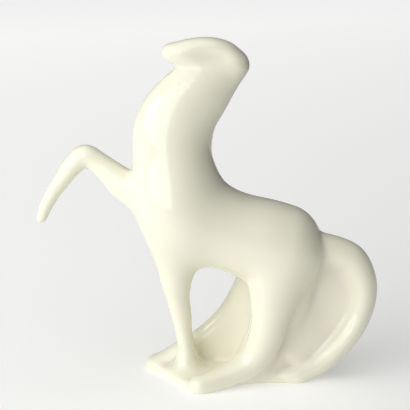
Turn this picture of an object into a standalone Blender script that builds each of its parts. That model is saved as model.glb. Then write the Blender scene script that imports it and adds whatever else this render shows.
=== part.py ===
"""A porcelain horse figurine: nine slip castings luted together with slip, then glazed and fired.

The horse is modelled once as a whole, from limbs that swell and taper along a spine, with its
hollow inside. Plane seams then divide it into the castings and the thin wafers of slip between
them. Sizes are in millimetres: X runs from nose to tail, Y to the far side, Z up from the table.
"""

import math
from typing import NamedTuple

import bmesh
import bpy
from mathutils import Matrix, Vector

MM = 0.001

# The horse's height, and the height that the rings and plans below are written for
HEIGHT = 200.0
WRITTEN_HEIGHT = 200.0
SIZE = HEIGHT / WRITTEN_HEIGHT

# Walls, slip and vent
WALL = 3.2
FLOOR = 4.0
SLIP = 0.7
CLEARANCE = 0.3
VENT_DIAMETER = 8.0

# Finishes
GLAZE_COLOUR = (0.80, 0.77, 0.66)
GLAZE_ROUGHNESS = 0.12
SLIP_COLOUR = (0.74, 0.71, 0.62)
SLIP_ROUGHNESS = 0.35

# Where the castings meet, as small distances from the rings of the limbs
JAW_DROP = 8.5
NECK_SEAM_DROP = 2.5
FORELEG_SEAM_BACKSET = 3.0
HIP_SEAM_RISE = 2.0
STUMP_HEIGHT = 3.5
TAIL_SEAM_FORWARD = 2.5
TAIL_SEAM_RISE = 4.5
TAIL_FOOT_FORWARD = 8.0
VENT_BACKSET = 1.0

# The base plate
BASE_THICKNESS = 5.0
BASE_EDGE = 1.8
BASE_EDGE_STEP_COUNT = 2


class Station(NamedTuple):
    """A ring of a limb: its centre, its half height across the spine and its half depth along Y."""

    x: float
    y: float
    z: float
    half_height: float
    half_depth: float


def limb(*rings):
    """A limb's rings at the horse's size."""
    return tuple(Station(*(SIZE * value for value in ring)) for ring in rings)


def plan(*points):
    """Points of the plan at the horse's size."""
    return tuple((SIZE * x, SIZE * y) for x, y in points)


# The seam that parts the hind legs, and a line in the open arch before the near hind leg
MIDDLE_SEAM = plan((-43, 13.5), (60, -5))
ARCH = plan((-6, 6), (-13, -16))

# The outline of the base plate
BASE_PLAN = plan(
    (-44.5, 14),
    (-36, 2.5),
    (-26, -14.5),
    (-20, -24),
    (-14.5, -27.5),
    (-8.5, -25.5),
    (-3, -19.5),
    (8, -10.5),
    (24, -9),
    (42, -12.5),
    (49.5, -6),
    (49.5, 6),
    (42, 12.5),
    (24, 11),
    (6, 14),
    (-8, 21),
    (-25, 25.5),
    (-39, 23.5),
)

# The limbs, each ring as its centre, half height and half depth
HEAD = limb(
    (-30.5, 0, 192.1, 5.2, 5),
    (-24, 0, 191.4, 7.4, 6),
    (-16, 0, 191, 9.5, 8),
    (-7.5, 0, 190, 10.5, 9.5),
    (0.5, 0, 189, 9.5, 8.5),
    (6, 0, 188, 7.5, 6),
)
NECK = limb(
    (5.7, 0, 186, 9, 8.5),
    (-1.5, 0, 181.5, 13, 9),
    (-13, 0, 171.5, 18, 12),
    (-24, 0, 159, 21, 14.5),
    (-29, 0, 148, 22.5, 16),
    (-30, 0, 133.5, 22.5, 18),
    (-28, 0, 115.5, 24, 23),
    (-25.5, 0, 98.5, 23, 25),
)
BARREL = limb(
    (-28, 0, 102, 19, 23.5),
    (-17.5, 0, 94, 23, 24.5),
    (-4.5, 0, 90.4, 23.4, 24),
    (8.5, 0, 86.3, 23.8, 23.5),
    (22.5, 0, 82, 25, 24.5),
    (32.5, 0, 79, 25, 24.5),
)
HAUNCH = limb(
    (34.5, 0, 70, 21, 22),
    (33.5, 0, 47, 19, 15.5),
    (31, 0, 25.5, 20, 11.5),
    (26, 0, 3, 24, 10.5),
)
NEAR_THIGH = limb(
    (34.5, -9, 79, 22, 15.5),
    (29, -12, 60, 15.5, 11.5),
    (26, -12.5, 42, 11.5, 9.5),
    (22.5, -12.5, 26, 9.5, 10.5),
    (14, -14.5, 12.5, 6.5, 8.5),
    (2, -19, 7, 4.5, 6),
    (-8, -23, 5, 3.5, 5.5),
    (-15, -25.5, 4.5, 3, 4.5),
)
FAR_THIGH = limb(
    (35, 9, 77, 22, 15.5),
    (24.8, 12.5, 57.5, 17.2, 11.5),
    (11.4, 15.5, 42, 10.8, 9.5),
    (1.5, 17, 30.5, 8, 8.5),
    (-11, 18, 19.5, 6, 7),
    (-24, 18.5, 11.5, 4.5, 6),
    (-34.5, 17.5, 4, 3.6, 5.5),
    (-41, 16, 1.5, 3, 5),
)
TAIL = limb(
    (47.5, 0, 78.5, 10.5, 11.5),
    (61, 0, 77, 9, 9),
    (72.5, 0, 71.3, 9.2, 8.5),
    (78.5, 0, 59.5, 9, 8.5),
    (79.5, 0, 47, 8, 8.5),
    (75.5, 0, 33.5, 7.5, 9.5),
    (67.5, 0, 22, 7.5, 10.5),
    (56.5, 0, 11.5, 7.5, 11),
    (44, 0, 5.5, 6, 12.5),
    (30, 0, 4, 5, 10),
)
TAIL_WEB = limb(
    (51, 0, 70, 12, 11),
    (58.5, 0, 53, 16, 6),
    (50.5, 0, 33.5, 17.5, 7.5),
    (39, 0, 16.5, 16.5, 10.5),
)
STANDING_FORELEG = limb(
    (-28, -5, 100, 17, 20),
    (-29, -4.5, 88, 15.5, 17),
    (-29, -4, 77, 12.8, 13),
    (-28, -3, 60, 9, 8.5),
    (-27, -1.5, 49, 7, 7),
    (-25, 0, 37.5, 6, 6.3),
    (-23.5, 0.5, 26, 5, 5.5),
    (-22, 1, 16, 5, 5.5),
    (-20.5, 1.5, 6, 7, 6.5),
)
RAISED_FORELEG = limb(
    (-105.5, 8, 93.5, 3.2, 3.2),
    (-102.5, 8, 101.5, 4, 3.8),
    (-97.5, 8, 110.5, 4.6, 4.4),
    (-92.5, 8, 117.5, 5.3, 5),
    (-87, 8, 125, 6, 5.8),
    (-80, 8, 130.5, 6.7, 6.3),
    (-72.5, 7.5, 127, 6.3, 6.5),
    (-63.5, 6.5, 119.5, 7.8, 8),
    (-57.5, 6, 114, 9, 10),
    (-48.5, 5, 107.5, 12.5, 14),
)
WITHERS = limb(
    (-16, 0, 122, 10, 14),
    (-1, 0, 104.5, 10, 17),
)

# The walls that carry the hind legs down to the base, with upright rings
NEAR_WALL = limb(
    (22, -7, 20, 21, 6),
    (14, -8.5, 12.5, 13.5, 6.5),
    (6, -11.5, 8, 9, 6),
    (-6, -19.5, 5, 6, 4.5),
    (-15, -24, 3, 4, 4),
)
FAR_WALL = limb(
    (20, 9, 24, 26, 7),
    (8, 13, 18, 20, 6.5),
    (-4, 16, 12.5, 14.5, 6),
    (-16, 18, 8, 9.5, 5.5),
    (-28, 18.5, 5, 6, 5),
    (-40, 17, 2.5, 3.5, 4.5),
)

# The hollow between the hind legs, and the dish on each side of the tail
BOWL_CENTRE = SIZE * Vector((-10, -1, 31))
BOWL_RADII = SIZE * Vector((24.5, 14.5, 27.5))
DISH_CENTRE = SIZE * Vector((61.5, 18.5, 43.5))
DISH_RADII = SIZE * Vector((27, 14, 17))
DISH_LEAN = 63.0

# How the clay is worked: grain sizes, rounds of softening and the share of faces kept
BODY_GRAIN = 2.0
FORM_GRAIN = 1.5
SOFTENING = 0.5
BODY_SOFTENING_COUNT = 30
TAIL_SOFTENING_COUNT = 8
FORM_SOFTENING_COUNT = 5
HOLLOW_SOFTENING_COUNT = 4
FORM_DETAIL = 0.055
HOLLOW_DETAIL = 0.04

# What softening takes off a limb, put on it beforehand
SOFTENING_LOSS = 0.6

# How finely limbs, domed ends and scoops are divided
RING_SIDE_COUNT = 24
STATION_STEP_COUNT = 4
DOME_ANGLES = (30, 60, 80)
SCOOP_SIDE_COUNT = 32
SCOOP_RING_COUNT = 16

# A block of space larger than the horse
SPACE = 500.0


class Plane(NamedTuple):
    """A seam: a point on it and the direction that it faces."""

    point: Vector
    normal: Vector


def clear_scene():
    """Empties the scene."""
    for obj in list(bpy.data.objects):
        bpy.data.objects.remove(obj, do_unlink=True)


def material(name, colour, roughness):
    """A plain finish with the colour and roughness of the fired surface."""
    made = bpy.data.materials.new(name)
    made.use_nodes = True
    shader = made.node_tree.nodes["Principled BSDF"]
    shader.inputs["Base Color"].default_value = (*colour, 1)
    shader.inputs["Roughness"].default_value = roughness
    shader.inputs["Metallic"].default_value = 0
    made.diffuse_color = (*colour, 1)
    return made


def curve_point(stations, place):
    """The station at a place along a limb, on the Catmull-Rom curve through all of them."""
    last = len(stations) - 1
    first = min(int(place), last - 1)
    part = place - first
    before, start, end, after = (
        stations[max(0, min(last, first + offset))] for offset in (-1, 0, 1, 2)
    )
    values = []
    for p0, p1, p2, p3 in zip(before, start, end, after):
        values.append(
            p1
            + 0.5 * part * (p2 - p0)
            + part**2 * (p0 - 2.5 * p1 + 2 * p2 - 0.5 * p3)
            + part**3 * (1.5 * (p1 - p2) + 0.5 * (p3 - p0))
        )
    return Station(*values)


def limb_rings(stations, inset, plumb):
    """The centre and two half axes of each ring, with more rings that dome the ends.

    Rings stand square to the spine, or plumb on the table.
    """
    count = (len(stations) - 1) * STATION_STEP_COUNT
    path = [curve_point(stations, step / STATION_STEP_COUNT) for step in range(count + 1)]
    centres = [Vector(station[:3]) for station in path]
    rings = []
    for index, station in enumerate(path):
        ahead = centres[min(index + 1, count)] - centres[max(index - 1, 0)]
        if plumb:
            ahead.z = 0
        along = ahead.normalized()
        across = Vector((0, 1, 0))
        across = (across - along * across.dot(along)).normalized()
        up = across.cross(along)
        high = station.half_height - inset
        deep = station.half_depth - inset
        angles = [0]
        if index == 0:
            angles = [-angle for angle in reversed(DOME_ANGLES)] + [0]
        elif index == count:
            angles = [0, *DOME_ANGLES]
        for angle in map(math.radians, angles):
            size = math.cos(angle)
            centre = centres[index] + along * math.sin(angle) * min(high, deep)
            rings.append((centre, up * high * size, across * deep * size))
    return rings


def ring_edges(mesh, loop):
    """The edges round a ring of points, made where they don't exist yet."""
    edges = []
    for pair in zip(loop, loop[1:] + loop[:1]):
        edges.append(mesh.edges.get(pair) or mesh.edges.new(pair))
    return edges


def add_limb(mesh, stations, inset=0.0, plumb=False):
    """Bridges a limb's rings into one closed skin."""
    loops = []
    for centre, up, across in limb_rings(stations, inset, plumb):
        loop = []
        for side in range(RING_SIDE_COUNT):
            angle = 2 * math.pi * side / RING_SIDE_COUNT
            place = centre + across * math.cos(angle) + up * math.sin(angle)
            loop.append(mesh.verts.new(place * MM))
        loops.append(loop)
    faces = [mesh.faces.new(loops[0]), mesh.faces.new(loops[-1])]
    edges = [ring_edges(mesh, loop) for loop in loops]
    for first, second in zip(edges, edges[1:]):
        faces += bmesh.ops.bridge_loops(mesh, edges=first + second)["faces"]
    bmesh.ops.recalc_face_normals(mesh, faces=faces)


def add_guide(name, mesh):
    """A helper object that shapes the pieces and is no piece itself."""
    data = bpy.data.meshes.new(name)
    mesh.to_mesh(data)
    mesh.free()
    obj = bpy.data.objects.new(name, data)
    bpy.context.scene.collection.objects.link(obj)
    obj.hide_render = True
    obj.display_type = "WIRE"
    return obj


def add_modifier(obj, kind, **settings):
    """Adds one modelling step with its settings."""
    modifier = obj.modifiers.new(kind.title(), kind)
    for setting, value in settings.items():
        setattr(modifier, setting, value)


def cut(obj, operation, other):
    """Cuts an object with another, keeping what the operation names."""
    add_modifier(obj, "BOOLEAN", operation=operation, object=other, solver="EXACT")


def finished_mesh(obj):
    """The object's mesh with all its modelling steps done."""
    graph = bpy.context.evaluated_depsgraph_get()
    return bpy.data.meshes.new_from_object(obj.evaluated_get(graph))


def scoop(name, centre, radii, lean=0.0):
    """An ellipsoid that a hollow is scooped with, its first axis leaning up from X."""
    turn = Matrix.Rotation(math.radians(-lean), 4, "Y")
    place = Matrix.Translation(centre * MM) @ turn @ Matrix.Diagonal((*(radii * MM), 1))
    mesh = bmesh.new()
    bmesh.ops.create_uvsphere(
        mesh, u_segments=SCOOP_SIDE_COUNT, v_segments=SCOOP_RING_COUNT, radius=1, matrix=place
    )
    return add_guide(name, mesh)


def work(obj, grain, rounds, scoops=()):
    """Works overlapping limbs into one body, scoops it out and softens it."""
    add_modifier(obj, "REMESH", mode="VOXEL", voxel_size=grain * MM)
    for tool in scoops:
        cut(obj, "DIFFERENCE", tool)
    add_modifier(obj, "SMOOTH", factor=SOFTENING, iterations=rounds)


def clay(name, limbs, walls, scoops, rounds):
    """Limbs and plumb walls worked into one body."""
    mesh = bmesh.new()
    for stations in limbs:
        add_limb(mesh, stations, -SOFTENING_LOSS)
    for stations in walls:
        add_limb(mesh, stations, -SOFTENING_LOSS, plumb=True)
    obj = add_guide(name, mesh)
    work(obj, BODY_GRAIN, rounds, scoops)
    return obj


def add_base(mesh):
    """The base plate, run on below the table so that the cut at the table is flat."""
    corners = len(BASE_PLAN)
    outline = []
    for corner in range(corners):
        near = [Station(*BASE_PLAN[(corner + step) % corners], 0, 0, 0) for step in (-1, 0, 1, 2)]
        for step in range(STATION_STEP_COUNT):
            point = curve_point(near, 1 + step / STATION_STEP_COUNT)
            outline.append(mesh.verts.new(Vector((point.x, point.y, BASE_THICKNESS)) * MM))
    top = mesh.faces.new(outline)
    sides = bmesh.ops.extrude_face_region(mesh, geom=[top], use_keep_orig=True)["geom"]
    lower = [item for item in sides if isinstance(item, bmesh.types.BMVert)]
    bmesh.ops.translate(mesh, verts=lower, vec=Vector((0, 0, -2 * BASE_THICKNESS * MM)))
    faces = {face for vert in outline + lower for face in vert.link_faces}
    bmesh.ops.recalc_face_normals(mesh, faces=list(faces))
    bmesh.ops.bevel(
        mesh,
        geom=list(top.edges),
        offset=BASE_EDGE * MM,
        segments=BASE_EDGE_STEP_COUNT,
        affect="EDGES",
        profile=0.5,
    )


def outer_form(bowl, dishes):
    """The whole horse with its base, worked from the limbs outwards."""
    body_limbs = (
        NECK,
        BARREL,
        HAUNCH,
        NEAR_THIGH,
        FAR_THIGH,
        WITHERS,
        STANDING_FORELEG[:4],
        RAISED_FORELEG[-3:],
    )
    body = clay("guide_body", body_limbs, (NEAR_WALL, FAR_WALL), [bowl], BODY_SOFTENING_COUNT)
    tail = clay("guide_tail", (TAIL, TAIL_WEB), (), dishes, TAIL_SOFTENING_COUNT)
    mesh = bmesh.new()
    for part in (body, tail):
        mesh.from_mesh(finished_mesh(part))
    for stations in (HEAD, STANDING_FORELEG, RAISED_FORELEG, NEAR_THIGH[3:], FAR_THIGH[3:]):
        add_limb(mesh, stations)
    add_base(mesh)
    obj = add_guide("guide_outer_form", mesh)
    work(obj, FORM_GRAIN, FORM_SOFTENING_COUNT)
    add_modifier(obj, "DECIMATE", ratio=FORM_DETAIL)
    return obj


def hollow():
    """The space inside, a wall's thickness within the form, down to the floor of the base."""
    mesh = bmesh.new()
    for stations in (HEAD[2:5], NECK[1:], BARREL, HAUNCH, NEAR_THIGH[:3], FAR_THIGH[:3]):
        add_limb(mesh, stations, WALL)
    bowl_wall = scoop("guide_bowl_wall", BOWL_CENTRE, BOWL_RADII + Vector((WALL, WALL, WALL)))
    obj = add_guide("guide_hollow", mesh)
    work(obj, BODY_GRAIN, HOLLOW_SOFTENING_COUNT)
    add_modifier(obj, "DECIMATE", ratio=HOLLOW_DETAIL)
    cut(obj, "DIFFERENCE", bowl_wall)
    cut(obj, "INTERSECT", cell("guide_floor", [level(FLOOR)]))
    return obj


def cell(name, sides):
    """A block of space cut back to the side that each plane faces."""
    mesh = bmesh.new()
    bmesh.ops.create_cube(mesh, size=SPACE * MM)
    for plane in sides:
        everything = mesh.verts[:] + mesh.edges[:] + mesh.faces[:]
        made = bmesh.ops.bisect_plane(
            mesh,
            geom=everything,
            plane_co=plane.point * MM,
            plane_no=plane.normal,
            clear_inner=True,
        )
        rim = [item for item in made["geom_cut"] if isinstance(item, bmesh.types.BMEdge)]
        bmesh.ops.contextual_create(mesh, geom=rim)
    bmesh.ops.recalc_face_normals(mesh, faces=mesh.faces[:])
    return add_guide(name, mesh)


def vent():
    """The hole that lets the hollow breathe in the kiln, through the floor of the base."""
    mesh = bmesh.new()
    bmesh.ops.create_cone(
        mesh,
        cap_ends=True,
        segments=RING_SIDE_COUNT,
        radius1=VENT_DIAMETER / 2 * MM,
        radius2=VENT_DIAMETER / 2 * MM,
        depth=4 * FLOOR * MM,
        matrix=Matrix.Translation(Vector((HAUNCH[-1].x + VENT_BACKSET, 0, 0)) * MM),
    )
    return add_guide("guide_vent", mesh)


def add_piece(name, shell, sides, finish):
    """One casting or wafer of slip: what the shell holds between its seams."""
    obj = bpy.data.objects.new(name, shell.copy())
    bpy.context.scene.collection.objects.link(obj)
    cut(obj, "INTERSECT", cell("guide_" + name, sides))
    obj.data.materials.clear()
    obj.data.materials.append(finish)
    obj.data.shade_smooth()


def beyond(seam):
    """The casting on the side that a seam faces."""
    return Plane(seam.point + seam.normal * (SLIP / 2 + CLEARANCE), seam.normal)


def before(seam):
    """The casting on the other side."""
    return beyond(Plane(seam.point, -seam.normal))


def within(seam):
    """The slip in the seam itself, as its two faces."""
    return [Plane(seam.point - side * SLIP / 2, side) for side in (seam.normal, -seam.normal)]


def level(height):
    """A level seam that faces up."""
    return Plane(Vector((0, 0, height)), Vector((0, 0, 1)))


def standing_seam(first, second):
    """An upright seam through two points of the plan, facing to the left of the way between them."""
    along = (Vector(second) - Vector(first)).normalized()
    return Plane(Vector((*first, 0)), Vector((-along.y, along.x, 0)))


def main():
    clear_scene()
    glazed = material("ivory glazed porcelain", GLAZE_COLOUR, GLAZE_ROUGHNESS)
    fired_slip = material("fired luting slip", SLIP_COLOUR, SLIP_ROUGHNESS)

    bowl = scoop("guide_bowl", BOWL_CENTRE, BOWL_RADII)
    mirror = Matrix.Scale(-1, 3, Vector((0, 1, 0)))
    dishes = [
        scoop("guide_dish_near", mirror @ DISH_CENTRE, DISH_RADII, DISH_LEAN),
        scoop("guide_dish_far", DISH_CENTRE, DISH_RADII, DISH_LEAN),
    ]
    form = outer_form(bowl, dishes)
    cut(form, "DIFFERENCE", hollow())
    shell = finished_mesh(form)

    head = level(HEAD[2].z - JAW_DROP)
    neck = level(NECK[5].z - NECK_SEAM_DROP)
    hip = level(NEAR_THIGH[1].z + HIP_SEAM_RISE)
    foot = level(BASE_THICKNESS + STUMP_HEIGHT)
    foreleg_root = RAISED_FORELEG[-2].x + FORELEG_SEAM_BACKSET
    foreleg = Plane(Vector((foreleg_root, 0, 0)), Vector((1, 0, 0)))
    tail_foot = Vector((TAIL[-1].x - TAIL_FOOT_FORWARD, 0, foot.point.z))
    tail_top = Vector((TAIL[1].x - TAIL_SEAM_FORWARD, 0, TAIL[1].z + TAIL_SEAM_RISE))
    rise = tail_top - tail_foot
    tail = Plane(tail_foot, Vector((rise.z, 0, -rise.x)).normalized())
    middle = standing_seam(*MIDDLE_SEAM)
    arch = standing_seam(*ARCH)

    lower = [before(hip), beyond(foot)]
    standing = [before(middle), before(arch)]
    near = [before(middle), beyond(arch), before(tail)]
    far = [beyond(middle), before(tail)]
    castings = {
        "head": [beyond(head)],
        "neck": [before(head), beyond(neck), beyond(foreleg)],
        "torso": [before(neck), beyond(hip), beyond(foreleg), before(tail)],
        "raised_foreleg": [before(foreleg)],
        "standing_foreleg": lower + standing,
        "near_hind_leg": lower + near,
        "far_hind_leg": lower + far,
        "tail": [beyond(tail), beyond(foot)],
        "base": [before(foot), level(0)],
    }
    slips = {
        "head_slip": within(head),
        "neck_slip": within(neck) + [beyond(foreleg)],
        "raised_foreleg_slip": within(foreleg),
        "shoulder_slip": within(hip) + standing,
        "near_hip_slip": within(hip) + near,
        "far_hip_slip": within(hip) + far,
        "haunch_slip": within(middle) + lower + [beyond(arch), before(tail)],
        "tail_slip": within(tail) + [beyond(foot)],
        "standing_foot_slip": within(foot) + standing,
        "near_foot_slip": within(foot) + near,
        "far_foot_slip": within(foot) + far,
        "tail_foot_slip": within(foot) + [beyond(tail)],
    }
    for name, sides in castings.items():
        add_piece(name, shell, sides, glazed)
    for name, sides in slips.items():
        add_piece(name, shell, sides, fired_slip)
    cut(bpy.data.objects["base"], "DIFFERENCE", vent())


main()
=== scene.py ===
"""The porcelain horse figurine, dressed for the camera.

The real horse is slip cast in nine pieces that are luted together while leather hard and then
glazed as one. Its skin is worked out here as one smooth distance field: limbs that swell and taper
along a spine flow into each other, dishes are scooped out, and the whole is softened as wet clay
is. The skin is then parted at the casting seams, so that each glazed piece stands for its casting
and for the slip in its seams. Sizes are in millimetres until a mesh is made.
"""

import logging
import math
from collections.abc import Sequence
from dataclasses import dataclass, field
from enum import Enum
from typing import NamedTuple

import bmesh
import bpy
import numpy as np
from mathutils import Matrix, Vector


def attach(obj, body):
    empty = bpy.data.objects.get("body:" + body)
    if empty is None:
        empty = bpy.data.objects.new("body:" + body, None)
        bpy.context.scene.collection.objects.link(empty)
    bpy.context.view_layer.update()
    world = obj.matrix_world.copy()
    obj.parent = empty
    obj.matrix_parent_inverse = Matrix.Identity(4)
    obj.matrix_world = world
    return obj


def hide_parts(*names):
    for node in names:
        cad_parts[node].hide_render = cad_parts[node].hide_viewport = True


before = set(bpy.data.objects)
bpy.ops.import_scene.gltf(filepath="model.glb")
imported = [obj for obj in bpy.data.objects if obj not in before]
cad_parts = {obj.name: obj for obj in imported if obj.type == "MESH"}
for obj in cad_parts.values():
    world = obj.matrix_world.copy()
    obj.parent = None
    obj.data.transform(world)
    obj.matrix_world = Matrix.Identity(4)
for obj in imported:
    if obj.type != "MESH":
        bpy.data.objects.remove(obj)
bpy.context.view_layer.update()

LOG = logging.getLogger("horse")
MM = 0.001
BODY = "root"

# Least divisor, so that no division meets nought
TINY = 1e-6

# Numbers of the Mix node's two colour inputs and its colour output
MIX_FIRST, MIX_SECOND, MIX_RESULT = 6, 7, 2


class Station(NamedTuple):
    """A ring of a limb: its centre, half height across the spine and half depth along Y."""

    x: float
    y: float
    z: float
    half_height: float
    half_depth: float


def limb_rings(*rings: Sequence[float]) -> np.ndarray:
    """A limb's rings as rows of one array.

    Args:
        rings: one row of station values for each ring.

    Returns:
        Array of shape (rings, 5).
    """
    return np.array([Station(*ring) for ring in rings], float)


def smooth_union(first: np.ndarray, second: np.ndarray, reach: float) -> np.ndarray:
    """Joins two distance fields with a fillet.

    The lesser distance, less reach / 6 times the cube of how far the two lie within reach of
    each other.

    Args:
        first: distances to one form.
        second: distances to the other form.
        reach: width of the fillet.

    Returns:
        Distances to the joined form.
    """
    near = np.maximum(reach - np.abs(first - second), 0) / reach
    return np.minimum(first, second) - near**3 * reach / 6


def smooth_scoop(form: np.ndarray, tool: np.ndarray, reach: float) -> np.ndarray:
    """Takes a tool's form out of another with a rounded rim.

    Args:
        form: distances to what is cut.
        tool: distances to the tool.
        reach: width of the rounding.

    Returns:
        Distances to what is left.
    """
    return -smooth_union(-form, tool, reach)


def ellipsoid_distance(along: np.ndarray, up: np.ndarray, across: np.ndarray,
                       radii: Sequence[np.ndarray | float]) -> np.ndarray:
    """Distance to an ellipsoid: k (k - 1) / |gradient of k|, where k is 1 on its surface.

    Args:
        along: offsets along the first axis.
        up: offsets along the second axis.
        across: offsets along the third axis.
        radii: radius on each axis.

    Returns:
        Distances, negative inside.
    """
    parts = [offset / radius for offset, radius in zip((along, up, across), radii)]
    level = np.sqrt(sum(part**2 for part in parts))
    slope = np.sqrt(sum((part / radius) ** 2 for part, radius in zip(parts, radii))) + TINY
    return level * (level - 1) / slope


def spline(rows: np.ndarray, place: np.ndarray, closed: bool) -> np.ndarray:
    """Reads the Catmull-Rom curve through rows.

    Each stretch is a cubic that leaves one row and meets the next in the directions of the lines
    between their neighbours.

    Args:
        rows: the rows that the curve passes through.
        place: where to read it, counted in rows from the first.
        closed: whether the last row leads back to the first.

    Returns:
        One row for each place.
    """
    count = len(rows)
    start = np.minimum(place.astype(int), count - 1 if closed else count - 2)
    part = (place - start)[:, None]
    steps = [start + step for step in (-1, 0, 1, 2)]
    p0, p1, p2, p3 = (rows[step % count if closed else np.clip(step, 0, count - 1)] for step in steps)
    return (
        p1
        + 0.5 * part * (p2 - p0)
        + part**2 * (p0 - 2.5 * p1 + 2 * p2 - 0.5 * p3)
        + part**3 * (1.5 * (p1 - p2) + 0.5 * (p3 - p0))
    )


@dataclass(frozen=True)
class Limb:
    """A limb whose elliptical rings swell and taper along a curved spine."""

    stations: np.ndarray
    steps: int = 24
    plumb: bool = False
    far_limit: float = 22.0

    def path(self) -> np.ndarray:
        """The rings along the curve through all stations, one more than steps."""
        return spline(self.stations, np.linspace(0, len(self.stations) - 1, self.steps + 1), closed=False)

    def distance(self, points: np.ndarray) -> np.ndarray:
        """Distance to the limb: the least over its spine's pieces, each a swept ellipsoid.

        Args:
            points: array of shape (n, 3).

        Returns:
            Distances; past far_limit they are to the limb's box.
        """
        path = self.path()
        centres, high, deep = path[:, :3], path[:, 3], path[:, 4]
        along = np.gradient(centres, axis=0)
        if self.plumb:
            along[:, 2] = 0
        along /= np.linalg.norm(along, axis=1, keepdims=True)
        across = np.array((0.0, 1.0, 0.0)) - along * along[:, 1:2]
        across /= np.linalg.norm(across, axis=1, keepdims=True)
        up = np.cross(across, along)
        reach = np.maximum(high, deep)[:, None]
        outside = np.maximum((centres - reach).min(0) - points, points - (centres + reach).max(0))
        found = np.linalg.norm(np.maximum(outside, 0), axis=1)
        near = found < self.far_limit
        close = points[near].astype(np.float32)
        best = np.full(len(close), np.inf, np.float32)
        for piece in range(self.steps):
            spine = (centres[piece + 1] - centres[piece]).astype(np.float32)
            offset = close - centres[piece].astype(np.float32)
            part = np.clip(offset @ (spine / (spine @ spine)), 0, 1)
            offset -= part[:, None] * spine
            axes = [(axis[piece] + axis[piece + 1]).astype(np.float32) / 2
                    for axis in (along, up, across)]
            tall = (high[piece] + part * (high[piece + 1] - high[piece])).astype(np.float32)
            wide = (deep[piece] + part * (deep[piece + 1] - deep[piece])).astype(np.float32)
            radii = (np.minimum(tall, wide), tall, wide)
            best = np.minimum(best, ellipsoid_distance(*(offset @ axis for axis in axes), radii))
        found[near] = best
        return found


@dataclass(frozen=True)
class Scoop:
    """An ellipsoid that a dish is scooped with, its first axis leaning up from X."""

    centre: tuple[float, float, float]
    radii: tuple[float, float, float]
    lean: float = 0.0

    def distance(self, points: np.ndarray) -> np.ndarray:
        """Distance to the scoop, negative inside it.

        Args:
            points: array of shape (n, 3).

        Returns:
            Distances.
        """
        cosine, sine = math.cos(math.radians(self.lean)), math.sin(math.radians(self.lean))
        x, y, z = (points - np.array(self.centre)).T
        long, cross, short = self.radii
        return ellipsoid_distance(cosine * x + sine * z, y, cosine * z - sine * x, (long, cross, short))

    def mirrored(self) -> "Scoop":
        """The same scoop on the other side of the horse."""
        x, y, z = self.centre
        return Scoop((x, -y, z), self.radii, self.lean)


@dataclass(frozen=True)
class Plate:
    """The base: a flat plate with a curved outline and rounded edges."""

    plan: np.ndarray
    thickness: float = 4.4
    edge: float = 2.1
    steps: int = 5

    def outline(self) -> np.ndarray:
        """The closed curve through the plan's points, steps to each."""
        return spline(self.plan, np.arange(len(self.plan) * self.steps) / self.steps, closed=True)

    def distance(self, points: np.ndarray) -> np.ndarray:
        """Distance to the rounded plate, from its outline and its mid height.

        Args:
            points: array of shape (n, 3).

        Returns:
            Distances, negative inside.
        """
        outline = self.outline()
        flat = points[:, :2]
        nearest = np.full(len(flat), np.inf)
        inside = np.zeros(len(flat), bool)
        for start, end in zip(outline, np.roll(outline, -1, axis=0)):
            side = end - start
            offset = flat - start
            part = np.clip(offset @ (side / (side @ side)), 0, 1)
            nearest = np.minimum(nearest, ((offset - part[:, None] * side) ** 2).sum(1))
            if side[1] != 0:
                spans = (start[1] <= flat[:, 1]) != (end[1] <= flat[:, 1])
                inside ^= spans & (flat[:, 0] < start[0] + offset[:, 1] / side[1] * side[0])
        plan = np.sqrt(nearest) * np.where(inside, -1, 1) + self.edge
        half = self.thickness / 2
        height = np.abs(points[:, 2] - half) - (half - self.edge)
        corner = np.hypot(np.maximum(plan, 0), np.maximum(height, 0))
        return np.minimum(np.maximum(plan, height), 0) + corner - self.edge


@dataclass(frozen=True)
class Vent:
    """The hole in the base's floor that lets the hollow body breathe in the kiln."""

    x: float = 27.0
    diameter: float = 8.0
    depth: float = 16.0

    def distance(self, points: np.ndarray) -> np.ndarray:
        """Distance to the hole, an upright cylinder that is closed at its top.

        Args:
            points: array of shape (n, 3).

        Returns:
            Distances, negative inside.
        """
        wall = np.hypot(points[:, 0] - self.x, points[:, 1]) - self.diameter / 2
        return np.maximum(wall, points[:, 2] - self.depth)


@dataclass(frozen=True)
class Fillets:
    """How widely each limb flows into what carries it."""

    barrel: float = 25.0
    haunch: float = 14.0
    wall: float = 12.0
    hind_leg: float = 7.0
    bowl: float = 20.0
    head: float = 2.5
    cheek: float = 4.0
    web: float = 6.0
    dish: float = 3.0
    tail: float = 2.5
    standing_foreleg: float = 18.0
    raised_foreleg: float = 6.5
    base: float = 8.0
    vent: float = 1.0


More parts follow.
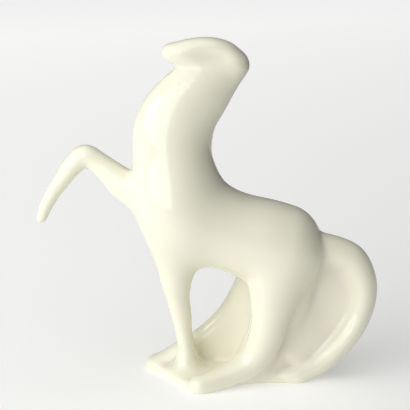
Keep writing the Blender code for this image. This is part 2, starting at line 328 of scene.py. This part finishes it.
@dataclass(frozen=True)
class HorseForm:
    """The whole horse as limbs, scoops and base, all in one distance field."""

    head: Limb = Limb(limb_rings(
        (-30.5, 0, 192.1, 5.2, 6),
        (-24, 0, 191.4, 7.4, 7.3),
        (-16, 0, 191, 9.5, 8.4),
        (-7.5, 0, 190, 10.5, 9.4),
        (-0.5, 0, 189.2, 9.2, 8.8),
        (3, 0, 188.5, 6.5, 6.5),
    ), 18)
    neck: Limb = Limb(limb_rings(
        (5.7, 0, 186, 9, 7.5),
        (-0.8, 0, 181, 12, 7.8),
        (-13, 0, 171.5, 18, 11.4),
        (-24, 0, 159, 21, 14.5),
        (-29, 0, 148, 22.5, 16),
        (-30, 0, 133.5, 22.5, 18),
        (-28, 0, 115.5, 23.8, 20.5),
        (-24.5, 0, 98.5, 20.5, 21),
    ), 28)
    barrel: Limb = Limb(limb_rings(
        (-28, 0, 102, 19, 20),
        (-17.5, 0, 94, 23, 22),
        (-4.5, 0, 90.4, 23.4, 23),
        (8.5, 0, 86.3, 23.8, 23.5),
        (22.5, 0, 82, 25, 24),
        (32.5, 0, 79, 25, 23),
    ), 20)
    haunch: Limb = Limb(limb_rings(
        (34, 0, 70, 20.5, 19),
        (32.5, 0, 47, 18, 13),
        (28.5, 0, 25.5, 17.5, 9),
        (24, 0, 3, 22, 10.5),
    ), 12)
    near_thigh: Limb = Limb(limb_rings(
        (33.5, -9, 79.5, 20.5, 13.5),
        (29, -12, 60, 15.5, 11.5),
        (26, -12.5, 42, 11.5, 9.5),
        (22.5, -12.5, 26, 9.5, 8.5),
        (14, -14.5, 12.5, 6.5, 7),
        (2, -19, 7, 4.5, 6),
        (-8, -23, 5, 3.5, 5.5),
        (-15, -25.5, 4.5, 3, 4.5),
    ), 28)
    far_thigh: Limb = Limb(limb_rings(
        (34.5, 9, 77, 21, 14),
        (24.8, 12.5, 57.5, 17.2, 11.5),
        (11.4, 15.5, 42, 10.8, 9.5),
        (1.5, 17, 30.5, 8, 8.5),
        (-11, 18, 19.5, 6, 7),
        (-24, 18.5, 11.5, 4.5, 6),
        (-34.5, 17.5, 4, 3.6, 5.5),
        (-41, 16, 1.5, 3, 5),
    ), 28)
    near_wall: Limb = Limb(limb_rings(
        (22, -7, 20, 21, 6),
        (14, -8.5, 12.5, 13.5, 6.5),
        (6, -11.5, 8, 9, 6),
        (-6, -19.5, 5, 6, 4.5),
        (-15, -24, 3, 4, 4),
    ), 14, plumb=True)
    far_wall: Limb = Limb(limb_rings(
        (20, 9, 24, 26, 7),
        (8, 13, 18, 20, 6.5),
        (-4, 16, 12.5, 14.5, 6),
        (-16, 18, 8, 9.5, 5.5),
        (-28, 18.5, 5, 6, 5),
        (-40, 17, 2.5, 3.5, 4.5),
    ), 16, plumb=True)
    tail: Limb = Limb(limb_rings(
        (47.5, 0, 78.5, 10.5, 9),
        (61, 0, 77, 9, 8.5),
        (72.5, 0, 71.3, 9.2, 8.5),
        (78.5, 0, 59.5, 9, 8.5),
        (79.5, 0, 47, 8, 8.5),
        (75.5, 0, 33.5, 7.5, 9.5),
        (67.5, 0, 22, 7.5, 10.5),
        (56.5, 0, 11.5, 7.5, 11),
        (44, 0, 5.5, 6, 12.5),
        (30, 0, 4, 5, 10),
    ), 28)
    tail_web: Limb = Limb(limb_rings(
        (51, 0, 70, 11.5, 6),
        (58.5, 0, 53, 16, 4),
        (50.5, 0, 33.5, 17.5, 5.5),
        (39, 0, 16.5, 16.5, 9),
    ), 16)
    standing_foreleg: Limb = Limb(limb_rings(
        (-27, -5, 100, 14, 13.5),
        (-28, -4.5, 88, 12.8, 12),
        (-28.7, -4, 77, 11.4, 10.5),
        (-28, -3, 60, 9, 8.5),
        (-27, -1.5, 49, 7, 7),
        (-25, 0, 37.5, 6, 6.3),
        (-23.5, 0.5, 26, 5, 5.5),
        (-22, 1, 16, 5, 5.5),
        (-21.5, 1.5, 6, 6, 6),
    ), 26)
    raised_foreleg: Limb = Limb(limb_rings(
        (-105.5, 8, 93.5, 3.2, 3.2),
        (-102.5, 8, 101.5, 4, 3.8),
        (-97.5, 8, 110.5, 4.6, 4.4),
        (-92.5, 8, 117.5, 5.3, 5),
        (-87, 8, 125, 6, 5.8),
        (-80, 8, 130.5, 6.7, 6.3),
        (-72.5, 7.5, 127, 6.3, 6.5),
        (-63.5, 6.5, 119.5, 7.8, 8),
        (-57.5, 6, 114, 9, 10),
        (-46, 5, 107, 10.5, 12),
    ), 30)
    base: Plate = Plate(np.array((
        (-44.5, 14), (-36, 2.5), (-26, -14.5), (-20, -24), (-14.5, -27.5), (-8.5, -25.5),
        (-3, -19.5), (8, -10.5), (24, -9), (42, -12.5), (49.5, -6), (49.5, 6),
        (42, 12.5), (24, 11), (6, 14), (-8, 21), (-25, 25.5), (-39, 23.5),
    )))
    bowl: Scoop = Scoop((-12, -2.5, 35), (21.5, 13, 25))
    dish: Scoop = Scoop((62, 17, 43.5), (28, 14, 17), 63.0)
    cheek: Scoop = Scoop((-7, -16, 191), (24, 10, 8.5), -4.0)
    vent: Vent = Vent()
    fillets: Fillets = Fillets()

    def distance(self, points: np.ndarray) -> np.ndarray:
        """Distance to the horse: limbs joined with fillets in the order they are luted on.

        Args:
            points: array of shape (n, 3).

        Returns:
            Distances, negative inside the clay.
        """
        fillet = self.fillets
        form = smooth_union(self.neck.distance(points), self.barrel.distance(points), fillet.barrel)
        form = smooth_union(form, self.haunch.distance(points), fillet.haunch)
        for thigh, wall in ((self.near_thigh, self.near_wall), (self.far_thigh, self.far_wall)):
            leg = smooth_union(thigh.distance(points), wall.distance(points), fillet.wall)
            form = smooth_union(form, leg, fillet.hind_leg)
        form = smooth_scoop(form, self.bowl.distance(points), fillet.bowl)
        head = self.head.distance(points)
        for cheek in (self.cheek, self.cheek.mirrored()):
            head = smooth_scoop(head, cheek.distance(points), fillet.cheek)
        form = smooth_union(form, head, fillet.head)
        tail = smooth_union(self.tail.distance(points), self.tail_web.distance(points), fillet.web)
        for dish in (self.dish, self.dish.mirrored()):
            tail = smooth_scoop(tail, dish.distance(points), fillet.dish)
        form = smooth_union(form, tail, fillet.tail)
        form = smooth_union(form, self.base.distance(points), fillet.base)
        form = smooth_union(form, self.standing_foreleg.distance(points), fillet.standing_foreleg)
        form = smooth_union(form, self.raised_foreleg.distance(points), fillet.raised_foreleg)
        return smooth_scoop(form, self.vent.distance(points), fillet.vent)


@dataclass
class ClayBlock:
    """A block of space round the horse, sampled on a grid, that its skin is found in."""

    low: tuple[float, float, float] = (-116.0, -42.0, -6.0)
    high: tuple[float, float, float] = (94.0, 42.0, 206.0)
    pitch: float = 1.0
    coarse: int = 4
    margin: float = 1.3
    softening: float = 1.2
    least_slope: float = 0.5
    glaze_depth: float = 0.35
    glaze_run: float = 4.0
    values: np.ndarray = field(init=False)
    slopes: np.ndarray = field(init=False)
    bends: np.ndarray = field(init=False)

    def fill(self, form: HorseForm) -> None:
        """Samples the form finely near its skin and coarsely elsewhere, and softens it.

        Args:
            form: the horse.
        """
        counts = np.ceil((np.array(self.high) - self.low) / self.pitch / self.coarse).astype(int)
        coarse_places = np.stack(np.indices(counts + 1), -1) * self.coarse
        rough = form.distance(self.place(coarse_places.reshape(-1, 3))).reshape(counts + 1)
        near = np.abs(rough) < self.margin * self.pitch * self.coarse
        corners = [near[i:i + counts[0], j:j + counts[1], k:k + counts[2]]
                   for i in (0, 1) for j in (0, 1) for k in (0, 1)]
        wanted = self.spread(np.any(corners, axis=0))
        for axis in range(3):
            wanted |= np.roll(wanted, 1, axis)
        values = self.spread(rough[:-1, :-1, :-1]).astype(np.float32)
        values[wanted] = form.distance(self.place(np.argwhere(wanted)))
        self.values = self.softened(values)
        heights = self.low[2] + self.pitch * np.arange(self.values.shape[2])
        self.values = np.maximum(self.values, -heights.astype(np.float32))
        self.slopes = np.stack(np.gradient(self.values, self.pitch), -1)
        self.bends = sum(np.gradient(self.slopes[..., axis], self.pitch, axis=axis) for axis in range(3))
        self.bends = self.softened(self.bends)

    def place(self, index: np.ndarray) -> np.ndarray:
        """The points at these grid indices."""
        return np.array(self.low) + self.pitch * index

    def spread(self, cells: np.ndarray) -> np.ndarray:
        """Each coarse cell's value given to all the fine points in it, and to the last faces.

        Args:
            cells: array of one value for each coarse cell.

        Returns:
            Array of one value for each fine grid point.
        """
        for axis in range(3):
            cells = np.repeat(cells, self.coarse, axis)
        return np.pad(cells, ((0, 1),) * 3, mode="edge")

    def softened(self, values: np.ndarray) -> np.ndarray:
        """Values averaged with their neighbours, 1 : 2 : 1 along each axis, as wet clay is sponged.

        Args:
            values: array on the grid.

        Returns:
            The softened array.
        """
        for _ in range(max(1, round(2 * (self.softening / self.pitch) ** 2))):
            for axis in range(3):
                moved = np.moveaxis(values.copy(), axis, 0)
                old = np.moveaxis(values, axis, 0)
                moved[1:-1] = 0.25 * old[:-2] + 0.5 * old[1:-1] + 0.25 * old[2:]
                values = np.moveaxis(moved, 0, axis)
        return values

    def read(self, values: np.ndarray, points: np.ndarray) -> np.ndarray:
        """Reads a grid array between its points, in proportion along each axis.

        Args:
            values: array on the grid, of numbers or vectors.
            points: array of shape (n, 3).

        Returns:
            One value for each point.
        """
        place = (points - np.array(self.low)) / self.pitch
        first = np.clip(np.floor(place).astype(int), 0, np.array(values.shape[:3]) - 2)
        part = place - first
        total = 0
        for corner in np.ndindex(2, 2, 2):
            share = np.where(corner, part, 1 - part).prod(1)
            value = values[tuple((first + corner).T)]
            total = total + (share[:, None] * value if value.ndim > 1 else share * value)
        return total

    def normals(self, points: np.ndarray) -> np.ndarray:
        """The skin's outward directions at these points."""
        slope = self.read(self.slopes, points)
        return slope / np.maximum(np.linalg.norm(slope, axis=1, keepdims=True), TINY)

    def pooling(self, points: np.ndarray) -> np.ndarray:
        """How thickly glaze lies, 0 to 1: its even depth, less its run times the skin's bend."""
        return np.clip(self.glaze_depth - self.glaze_run * self.read(self.bends, points), 0, 1)

    def skin(self) -> tuple[np.ndarray, np.ndarray]:
        """The surface where the distance is nought, as one four-sided face for each crossed edge.

        Each grid cell that the surface passes through has one point, at the mean of the places
        where it crosses the cell's edges, moved onto the surface along the slope.

        Returns:
            Points of shape (n, 3) and faces of shape (m, 4), facing out.
        """
        inside = self.values < 0
        cells = np.array(inside.shape) - 1
        windows = {corner: tuple(slice(c, c + n) for c, n in zip(corner, cells))
                   for corner in np.ndindex(2, 2, 2)}
        filled = sum(inside[window].astype(np.int8) for window in windows.values())
        crossed = (filled > 0) & (filled < len(windows))
        number = np.full(crossed.shape, -1)
        number[crossed] = np.arange(crossed.sum())
        cell = np.argwhere(crossed)
        total, count = np.zeros((len(cell), 3)), np.zeros(len(cell))
        for corner in windows:
            for axis in range(3):
                if corner[axis]:
                    continue
                other = tuple(1 if a == axis else c for a, c in enumerate(corner))
                here = self.values[tuple((cell + corner).T)]
                there = self.values[tuple((cell + other).T)]
                passes = (here < 0) != (there < 0)
                point = np.tile(np.array(corner, float), (len(cell), 1))
                point[:, axis] = here / np.where(passes, here - there, 1)
                total[passes] += point[passes]
                count += passes
        points = self.place(cell + total / count[:, None])
        faces = [self.crossed_faces(inside, number, axis) for axis in range(3)]
        return self.settled(points), np.concatenate(faces)

    @staticmethod
    def crossed_faces(inside: np.ndarray, number: np.ndarray, axis: int) -> np.ndarray:
        """A face round each grid edge along one axis that passes through the skin.

        Args:
            inside: whether each grid point is in the clay.
            number: each cell's point, or -1.
            axis: the edges' axis.

        Returns:
            Faces of shape (m, 4), facing out.
        """
        flips = np.diff(inside.astype(np.int8), axis=axis)
        edge = np.argwhere(flips)
        second, third = (axis + 1) % 3, (axis + 2) % 3
        leaving = flips[tuple(edge.T)] < 0
        corners = []
        for step_second, step_third in ((-1, -1), (0, -1), (0, 0), (-1, 0)):
            cell = edge.copy()
            cell[:, second] += step_second
            cell[:, third] += step_third
            corners.append(number[tuple(cell.T)])
        faces = np.stack(corners, 1)
        faces[~leaving] = faces[~leaving][:, ::-1]
        return faces

    def settled(self, points: np.ndarray, rounds: int = 3) -> np.ndarray:
        """Points moved down the slope onto the surface, and none below the table.

        Args:
            points: array of shape (n, 3).
            rounds: number of Newton steps.

        Returns:
            The moved points.
        """
        for _ in range(rounds):
            slope = self.read(self.slopes, points)
            step = self.read(self.values, points) / np.maximum((slope**2).sum(1), self.least_slope**2)
            points = points - np.clip(step, -self.pitch, self.pitch)[:, None] * slope
        points[:, 2] = np.maximum(points[:, 2], 0)
        return points


def linear(hex_colour: str) -> tuple[float, float, float, float]:
    """A colour for a shader: sRGB turned to linear by its power curve.

    Args:
        hex_colour: colour such as "#f2eee0".

    Returns:
        Linear red, green, blue and 1.
    """
    parts = [int(hex_colour[place:place + 2], 16) / 255 for place in (1, 3, 5)]
    return (*(p / 12.92 if p <= 0.04045 else ((p + 0.055) / 1.055) ** 2.4 for p in parts), 1.0)


def per_metre(millimetres: float) -> float:
    """The texture scale whose pattern repeats about this often."""
    return 1 / (millimetres * MM)


def add_node(tree: bpy.types.NodeTree, kind: str, settings: dict[str, object] | None = None,
             inputs: dict[str | int, object] | None = None) -> bpy.types.Node:
    """Adds one node with its settings, values and links.

    Args:
        tree: the material's node tree.
        kind: the node's type name.
        settings: the node's own settings by name.
        inputs: values or output sockets by input name or number.

    Returns:
        The node.
    """
    node = tree.nodes.new(kind)
    for name, value in (settings or {}).items():
        setattr(node, name, value)
    for name, value in (inputs or {}).items():
        if isinstance(value, bpy.types.NodeSocket):
            tree.links.new(value, node.inputs[name])
        else:
            node.inputs[name].default_value = value
    return node


def link(mesh: bpy.types.Mesh) -> bpy.types.Object:
    """Puts a mesh in the scene.

    Args:
        mesh: the mesh.

    Returns:
        Its object, of the same name.
    """
    made = bpy.data.objects.new(mesh.name, mesh)
    bpy.context.scene.collection.objects.link(made)
    return made


class Surface(Enum):
    """Which finish a face of a casting has."""

    GLAZED = 0
    BARE_FOOT = 1


@dataclass(frozen=True)
class GlazedPorcelain:
    """Ivory porcelain under a clear gloss glaze, dipped and fired.

    The eye gets clear reflections with soft edges, a slightly deeper ivory where the glaze has run
    thick into the hollows and a paler one where it is thin over the crests.
    """

    name: str = "ivory porcelain under clear glaze"
    thin: str = "#f2f0db"
    thick: str = "#eeead8"
    ior: float = 1.5
    smoothest: float = 0.03
    roughest: float = 0.06
    mottle_mm: float = 28.0
    mottle_detail: float = 2.0
    mottle_span: tuple[float, float] = (0.3, 0.7)
    unevenness: float = 0.12
    ripple_mm: float = 9.0
    ripple_detail: float = 0.0
    ripple_height_mm: float = 0.05
    ripple_strength: float = 0.25

    def material(self) -> bpy.types.Material:
        """Makes the finish.

        Returns:
            The material.
        """
        made = bpy.data.materials.new(self.name)
        made.use_nodes = True
        tree = made.node_tree
        shader = tree.nodes["Principled BSDF"]
        place = add_node(tree, "ShaderNodeTexCoord").outputs["Object"]
        mottle = add_node(tree, "ShaderNodeTexNoise", {}, {
            "Vector": place, "Scale": per_metre(self.mottle_mm),
            "Detail": self.mottle_detail}).outputs["Fac"]
        pooling = add_node(tree, "ShaderNodeAttribute", {"attribute_name": "pooling"}).outputs["Fac"]
        low, high = self.mottle_span
        uneven = add_node(tree, "ShaderNodeMapRange", {}, {
            "Value": mottle, "From Min": low, "From Max": high,
            "To Min": -self.unevenness, "To Max": self.unevenness}).outputs["Result"]
        depth = add_node(tree, "ShaderNodeMath", {"operation": "ADD", "use_clamp": True}, {
            0: pooling, 1: uneven}).outputs[0]
        glaze = add_node(tree, "ShaderNodeMix", {"data_type": "RGBA"}, {
            "Factor": depth, MIX_FIRST: linear(self.thin),
            MIX_SECOND: linear(self.thick)}).outputs[MIX_RESULT]
        gloss = add_node(tree, "ShaderNodeMapRange", {}, {
            "Value": mottle, "From Min": low, "From Max": high,
            "To Min": self.smoothest, "To Max": self.roughest}).outputs["Result"]
        ripple = add_node(tree, "ShaderNodeTexNoise", {}, {
            "Vector": place, "Scale": per_metre(self.ripple_mm),
            "Detail": self.ripple_detail}).outputs["Fac"]
        wave = add_node(tree, "ShaderNodeBump", {}, {
            "Strength": self.ripple_strength, "Distance": self.ripple_height_mm * MM,
            "Height": ripple}).outputs["Normal"]
        for socket, value in (("Base Color", glaze), ("Roughness", gloss), ("Normal", wave)):
            tree.links.new(value, shader.inputs[socket])
        shader.inputs["IOR"].default_value = self.ior
        return made


@dataclass(frozen=True)
class BiscuitFoot:
    """The foot, wiped clean of glaze so that it doesn't stick to the kiln shelf.

    The eye gets a dry, matt, chalky white with a faint sandy grain. The real grain is too fine to
    show, so it is drawn coarser.
    """

    name: str = "unglazed biscuit porcelain"
    pale: str = "#ece7da"
    sandy: str = "#d8cdb4"
    roughness: float = 0.75
    grain_mm: float = 0.8
    grain_detail: float = 3.0
    grain_height_mm: float = 0.05
    grain_strength: float = 0.4

    def material(self) -> bpy.types.Material:
        """Makes the finish.

        Returns:
            The material.
        """
        made = bpy.data.materials.new(self.name)
        made.use_nodes = True
        tree = made.node_tree
        shader = tree.nodes["Principled BSDF"]
        place = add_node(tree, "ShaderNodeTexCoord").outputs["Object"]
        grain = add_node(tree, "ShaderNodeTexNoise", {}, {
            "Vector": place, "Scale": per_metre(self.grain_mm),
            "Detail": self.grain_detail}).outputs["Fac"]
        colour = add_node(tree, "ShaderNodeMix", {"data_type": "RGBA"}, {
            "Factor": grain, MIX_FIRST: linear(self.pale),
            MIX_SECOND: linear(self.sandy)}).outputs[MIX_RESULT]
        wave = add_node(tree, "ShaderNodeBump", {}, {
            "Strength": self.grain_strength, "Distance": self.grain_height_mm * MM,
            "Height": grain}).outputs["Normal"]
        tree.links.new(colour, shader.inputs["Base Color"])
        tree.links.new(wave, shader.inputs["Normal"])
        shader.inputs["Roughness"].default_value = self.roughness
        return made


@dataclass(frozen=True)
class MattCard:
    """Matt studio card. The eye gets one even tone, without glint or grain."""

    name: str
    colour: str
    roughness: float

    def material(self) -> bpy.types.Material:
        """Makes the finish.

        Returns:
            The material.
        """
        made = bpy.data.materials.new(self.name)
        made.use_nodes = True
        shader = made.node_tree.nodes["Principled BSDF"]
        shader.inputs["Base Color"].default_value = linear(self.colour)
        shader.inputs["Roughness"].default_value = self.roughness
        return made

    def sheet(self, name: str, corners: Sequence[tuple[float, float, float]]) -> bpy.types.Object:
        """Cuts a four-sided sheet of the card.

        Args:
            name: the sheet's name.
            corners: its corners in order.

        Returns:
            The sheet.
        """
        mesh = bpy.data.meshes.new(name)
        mesh.from_pydata(corners, [], [range(len(corners))])
        mesh.materials.append(self.material())
        return link(mesh)


class Seam(NamedTuple):
    """A plane seam: a point on it and the way that it faces."""

    point: tuple[float, float, float]
    normal: tuple[float, float, float]

    def turned(self) -> "Seam":
        """The same seam facing the other way."""
        return Seam(self.point, tuple(-part for part in self.normal))


def level_seam(height: float) -> Seam:
    """A level seam that faces up."""
    return Seam((0.0, 0.0, height), (0.0, 0.0, 1.0))


def standing_seam(first: tuple[float, float], second: tuple[float, float]) -> Seam:
    """An upright seam through two points of the plan.

    Args:
        first: the first point.
        second: the second point.

    Returns:
        The seam, facing to the left of the way between the points.
    """
    across, away = second[0] - first[0], second[1] - first[1]
    length = math.hypot(across, away)
    return Seam((*first, 0.0), (-away / length, across / length, 0.0))


def leaning_seam(x: float, height: float, lean: float) -> Seam:
    """A seam that leans away from upright.

    Args:
        x: where it passes at this height.
        height: that height.
        lean: degrees from upright, towards positive X.

    Returns:
        The seam, facing positive X and down.
    """
    turn = math.radians(lean)
    return Seam((x, 0.0, height), (math.cos(turn), 0.0, -math.sin(turn)))


@dataclass(frozen=True)
class SeamPlan:
    """Where the castings meet."""

    head: Seam = level_seam(182.5)
    neck: Seam = level_seam(131.0)
    hip: Seam = level_seam(62.0)
    foot: Seam = level_seam(8.5)
    foreleg: Seam = Seam((-54.5, 0.0, 0.0), (1.0, 0.0, 0.0))
    tail: Seam = leaning_seam(22.0, 8.5, 26.725)
    middle: Seam = standing_seam((-43, 13.5), (60, -5))
    arch: Seam = standing_seam((-6, 6), (-13, -16))


@dataclass
class Casting:
    """One glazed casting: the skin between its seams, closed where it was luted on."""

    name: str
    sides: Sequence[Seam]
    stands_for: Sequence[str]
    bare_foot: bool = False
    space: float = 600.0
    foot_gap_mm: float = 0.02

    def cell(self) -> bpy.types.Object:
        """The space between the seams: a large block, cut flat at each of them.

        Returns:
            The block, flat shaded.
        """
        work = bmesh.new()
        bmesh.ops.create_cube(work, size=self.space)
        for seam in self.sides:
            cut = bmesh.ops.bisect_plane(
                work,
                geom=work.verts[:] + work.edges[:] + work.faces[:],
                plane_co=seam.point,
                plane_no=seam.normal,
                clear_inner=True,
            )
            rim = [item for item in cut["geom_cut"] if isinstance(item, bmesh.types.BMEdge)]
            bmesh.ops.contextual_create(work, geom=rim)
        bmesh.ops.recalc_face_normals(work, faces=work.faces)
        mesh = bpy.data.meshes.new("cell")
        work.to_mesh(mesh)
        work.free()
        return link(mesh)

    def build(self, block: ClayBlock, skin: bpy.types.Object) -> bpy.types.Object:
        """Takes the part of the skin between the seams, closed flat where it is cut.

        Args:
            block: the sampled clay, for the directions that the skin faces.
            skin: the whole horse's skin.

        Returns:
            The casting.
        """
        cell = self.cell()
        cut = skin.modifiers.new("seams", "BOOLEAN")
        cut.operation, cut.solver, cut.object = "INTERSECT", "MANIFOLD", cell
        shaped = skin.evaluated_get(bpy.context.evaluated_depsgraph_get())
        mesh = bpy.data.meshes.new_from_object(shaped)
        skin.modifiers.remove(cut)
        bpy.data.meshes.remove(cell.data)
        mesh.transform(Matrix.Scale(MM, 4))
        mesh.name = self.name
        self.face_outwards(mesh, block)
        return link(mesh)

    def face_outwards(self, mesh: bpy.types.Mesh, block: ClayBlock) -> None:
        """Gives the skin the clay's own directions, and stores how thickly glaze pools on it.

        Args:
            mesh: the casting's mesh.
            block: the sampled clay.
        """
        points = np.empty(len(mesh.vertices) * 3)
        mesh.vertices.foreach_get("co", points)
        points = points.reshape(-1, 3) / MM
        smooth = np.empty(len(mesh.polygons), bool)
        mesh.polygons.foreach_get("use_smooth", smooth)
        sides = np.empty(len(mesh.polygons), int)
        mesh.polygons.foreach_get("loop_total", sides)
        corners = np.empty(len(mesh.loops), int)
        mesh.loops.foreach_get("vertex_index", corners)
        directions = block.normals(points)[corners] * np.repeat(smooth, sides)[:, None]
        mesh.normals_split_custom_set(directions.tolist())
        pooling = mesh.attributes.new("pooling", "FLOAT", "POINT")
        pooling.data.foreach_set("value", block.pooling(points))

    def dress(self, made: bpy.types.Object, glaze: bpy.types.Material, foot: bpy.types.Material) -> None:
        """Glazes the casting, wipes its foot and sets it in the frame.

        Args:
            made: the casting.
            glaze: the glazed finish.
            foot: the finish of a bare foot.
        """
        made.data.materials.clear()
        made.data.materials.append(glaze)
        if self.bare_foot:
            made.data.materials.append(foot)
            centres = np.empty(len(made.data.polygons) * 3)
            made.data.polygons.foreach_get("center", centres)
            flat = np.abs(centres[2::3]) < self.foot_gap_mm * MM
            finish = np.where(flat, Surface.BARE_FOOT.value, Surface.GLAZED.value)
            made.data.polygons.foreach_set("material_index", finish.astype(np.int32))
        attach(made, BODY)
        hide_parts(*self.stands_for)


@dataclass
class Horse:
    """The figurine: nine castings parted from one skin."""

    form: HorseForm = field(default_factory=HorseForm)
    block: ClayBlock = field(default_factory=ClayBlock)
    seams: SeamPlan = field(default_factory=SeamPlan)
    glaze: GlazedPorcelain = field(default_factory=GlazedPorcelain)
    foot: BiscuitFoot = field(default_factory=BiscuitFoot)

    def castings(self) -> list[Casting]:
        """The castings with their seams, each with the CAD nodes that it stands for.

        Returns:
            The castings, from the head down.
        """
        seams = self.seams
        lower = [seams.hip.turned(), seams.foot]
        standing = [seams.middle.turned(), seams.arch.turned()]
        near = [seams.middle.turned(), seams.arch, seams.tail.turned()]
        far = [seams.middle, seams.tail.turned()]
        return [
            Casting("glazed_head", [seams.head], ["head", "head_slip"]),
            Casting("glazed_neck", [seams.head.turned(), seams.neck, seams.foreleg], ["neck", "neck_slip"]),
            Casting("glazed_torso", [seams.neck.turned(), seams.hip, seams.foreleg, seams.tail.turned()],
                    ["torso", "shoulder_slip", "near_hip_slip", "far_hip_slip"]),
            Casting("glazed_raised_foreleg", [seams.foreleg.turned()],
                    ["raised_foreleg", "raised_foreleg_slip"]),
            Casting("glazed_standing_foreleg", lower + standing,
                    ["standing_foreleg", "standing_foot_slip"]),
            Casting("glazed_near_hind_leg", lower + near,
                    ["near_hind_leg", "near_foot_slip", "haunch_slip"]),
            Casting("glazed_far_hind_leg", lower + far, ["far_hind_leg", "far_foot_slip"]),
            Casting("glazed_tail", [seams.tail, seams.foot], ["tail", "tail_slip", "tail_foot_slip"]),
            Casting("glazed_base", [seams.foot.turned()], ["base"], bare_foot=True),
        ]

    def build(self) -> None:
        """Works the clay, parts it into castings and glazes them."""
        self.block.fill(self.form)
        points, faces = self.block.skin()
        skin = bpy.data.meshes.new("skin")
        skin.from_pydata(points.tolist(), [], faces.tolist())
        skin.polygons.foreach_set("use_smooth", np.ones(len(faces), bool))
        whole = link(skin)
        glaze, foot = self.glaze.material(), self.foot.material()
        for casting in self.castings():
            made = casting.build(self.block, whole)
            casting.dress(made, glaze, foot)
            LOG.info("%s: %d faces, stands for %s", made.name, len(made.data.polygons),
                     ", ".join(casting.stands_for))
        bpy.data.meshes.remove(skin)


@dataclass(frozen=True)
class Softbox:
    """A soft panel of light."""

    name: str
    place: tuple[float, float, float]
    target: tuple[float, float, float]
    width: float
    height: float
    power: float
    colour: str = "#ffffff"

    def build(self) -> None:
        """Hangs the panel, facing its target."""
        lamp = bpy.data.lights.new(self.name, "AREA")
        lamp.shape = "RECTANGLE"
        lamp.size, lamp.size_y, lamp.energy = self.width, self.height, self.power
        lamp.color = linear(self.colour)[:3]
        made = bpy.data.objects.new(self.name, lamp)
        made.location = self.place
        aim = Vector(self.target) - Vector(self.place)
        made.rotation_euler = aim.to_track_quat("-Z", "Y").to_euler()
        bpy.context.scene.collection.objects.link(made)


@dataclass
class Studio:
    """The pale table, the black card, the soft light and the camera."""

    table: MattCard = MattCard("matt white card", "#dededc", 0.7)
    table_size: float = 12.0
    table_gap_mm: float = 0.05
    table_glow: tuple[float, float] = (0.0, 0.72)
    glow_reach: tuple[float, float] = (-1.0, 1.2)
    glow_along: tuple[float, float, float] = (-0.35, 1.0, 0.0)
    flag: MattCard = MattCard("matt black card", "#1c1c1c", 0.9)
    flag_width: float = 1.2
    flag_height: float = 1.1
    flag_place: float = 0.2
    flag_lift: float = 0.08
    room_colour: str = "#f6f6f4"
    room_strength: float = 0.04
    image_side: int = 410
    mm_per_pixel: float = 0.57
    distance: float = 1.1
    elevation: float = 15.0
    target: tuple[float, float, float] = (-0.0114, 0.0, 0.103734)
    sensor: float = 36.0
    far_clip: float = 50.0
    softboxes: tuple[Softbox, ...] = (
        Softbox("key softbox", (-0.74, -0.22, 0.42), (0.0, 0.0, 0.12), 0.24, 0.4, 1.6),
        Softbox("front fill", (-1.1, -1.3, 0.72), (0.0, 0.0, 0.1), 1.9, 1.2, 19.5),
        Softbox("overhead", (-0.05, -0.35, 1.3), (0.0, 0.0, 0.1), 1.9, 1.9, 12.5),
    )

    def build(self) -> None:
        """Sets the table, the black card, the room, the light and the camera."""
        self.lay_table()
        self.stand_flag()
        self.light_room()
        for softbox in self.softboxes:
            softbox.build()
        self.place_camera()

    def lay_table(self) -> None:
        """A wide flat sheet under the horse with painted light: it glows faintly, more towards the back and
        left, in place of studio light falling on it.
        """
        half, low = self.table_size / 2, -self.table_gap_mm * MM
        table = self.table.sheet("table", [(-half, -half, low), (half, -half, low), (half, half, low),
                                           (-half, half, low)])
        tree = table.active_material.node_tree
        place = add_node(tree, "ShaderNodeTexCoord").outputs["Object"]
        away = add_node(tree, "ShaderNodeVectorMath", {"operation": "DOT_PRODUCT"}, {
            0: place, 1: self.glow_along}).outputs["Value"]
        glow = add_node(tree, "ShaderNodeMapRange", {}, {
            "Value": away, "From Min": self.glow_reach[0], "From Max": self.glow_reach[1],
            "To Min": self.table_glow[0], "To Max": self.table_glow[1]}).outputs["Result"]
        # Painted light: the table's emission stands in for studio light on it, ramping up away from the
        # horse.
        tree.links.new(glow, tree.nodes["Principled BSDF"].inputs["Emission Strength"])

    def stand_flag(self) -> None:
        """A black card on the right that darkens that side; the camera and shadows leave it out."""
        half, low = self.flag_width / 2, self.flag_lift
        high = low + self.flag_height
        flag = self.flag.sheet("flag", [(self.flag_place, -half, low), (self.flag_place, half, low),
                                        (self.flag_place, half, high), (self.flag_place, -half, high)])
        flag.visible_camera = flag.visible_shadow = False

    def light_room(self) -> None:
        """The pale light of the room all round, with colours shown plainly."""
        world = bpy.data.worlds.new("room")
        world.use_nodes = True
        background = world.node_tree.nodes["Background"]
        background.inputs["Color"].default_value = linear(self.room_colour)
        background.inputs["Strength"].default_value = self.room_strength
        bpy.context.scene.world = world
        bpy.context.scene.view_settings.view_transform = "Standard"

    def place_camera(self) -> None:
        """The camera: its frame is image_side pixels of mm_per_pixel at the target."""
        camera = bpy.data.cameras.new("camera")
        camera.sensor_width = self.sensor
        camera.lens = self.sensor * self.distance / (self.image_side * self.mm_per_pixel * MM)
        camera.clip_end = self.far_clip
        made = bpy.data.objects.new("camera", camera)
        tilt = math.radians(self.elevation)
        away = Vector((0.0, -math.cos(tilt), math.sin(tilt))) * self.distance
        made.location = Vector(self.target) + away
        made.rotation_euler = (-away).to_track_quat("-Z", "Y").to_euler()
        bpy.context.scene.collection.objects.link(made)
        bpy.context.scene.camera = made


def main() -> None:
    """Builds the horse and the studio."""
    logging.basicConfig(level=logging.INFO, format="%(name)s: %(message)s")
    Horse().build()
    Studio().build()


if __name__ == "__main__":
    main()
